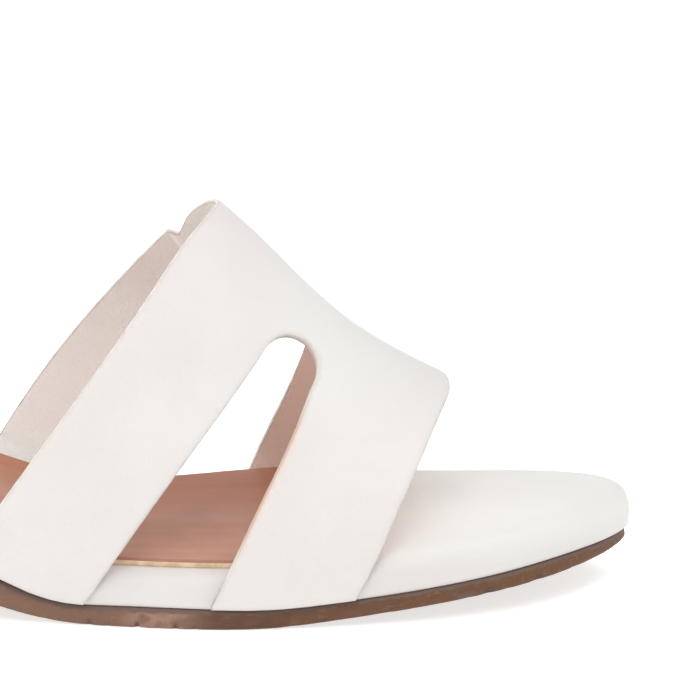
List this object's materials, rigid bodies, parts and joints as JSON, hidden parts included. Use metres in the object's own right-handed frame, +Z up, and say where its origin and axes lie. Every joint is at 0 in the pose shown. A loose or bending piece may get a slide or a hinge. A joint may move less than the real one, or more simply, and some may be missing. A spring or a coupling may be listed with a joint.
{
  "type": "heeled slide sandal",
  "caption": "Open-toe slide sandal with an H-shaped strap upper, wrapped footbed, thin outsole and low block heel.",
  "frame": {"origin": "middle of the sandal's box in plan, on the floor plane under the tread and the heel", "axes": "+X towards the toe, +Y towards the inner side of the foot, +Z up"},
  "size_m": [0.2384, 0.0888, 0.0802],
  "materials": {
    "outsole": "matt brown moulded tread sheet",
    "footbed": "smooth white leather wrap, soft sheen",
    "sock_lining": "plain tan lining leather with a raw cream edge",
    "heel_block": "smooth white leather cover, soft sheen",
    "heel_top_piece": "hard matt brown rubber",
    "upper": "smooth white leather with a pale beige lining and raw cut edges"
  },
  "bodies": {
    "root": {"outsole": "outsole", "footbed": "footbed", "sock_lining": "sock_lining", "heel_block": "heel_block", "heel_top_piece": "heel_top_piece", "upper": "upper"}
  },
  "joints": []
}
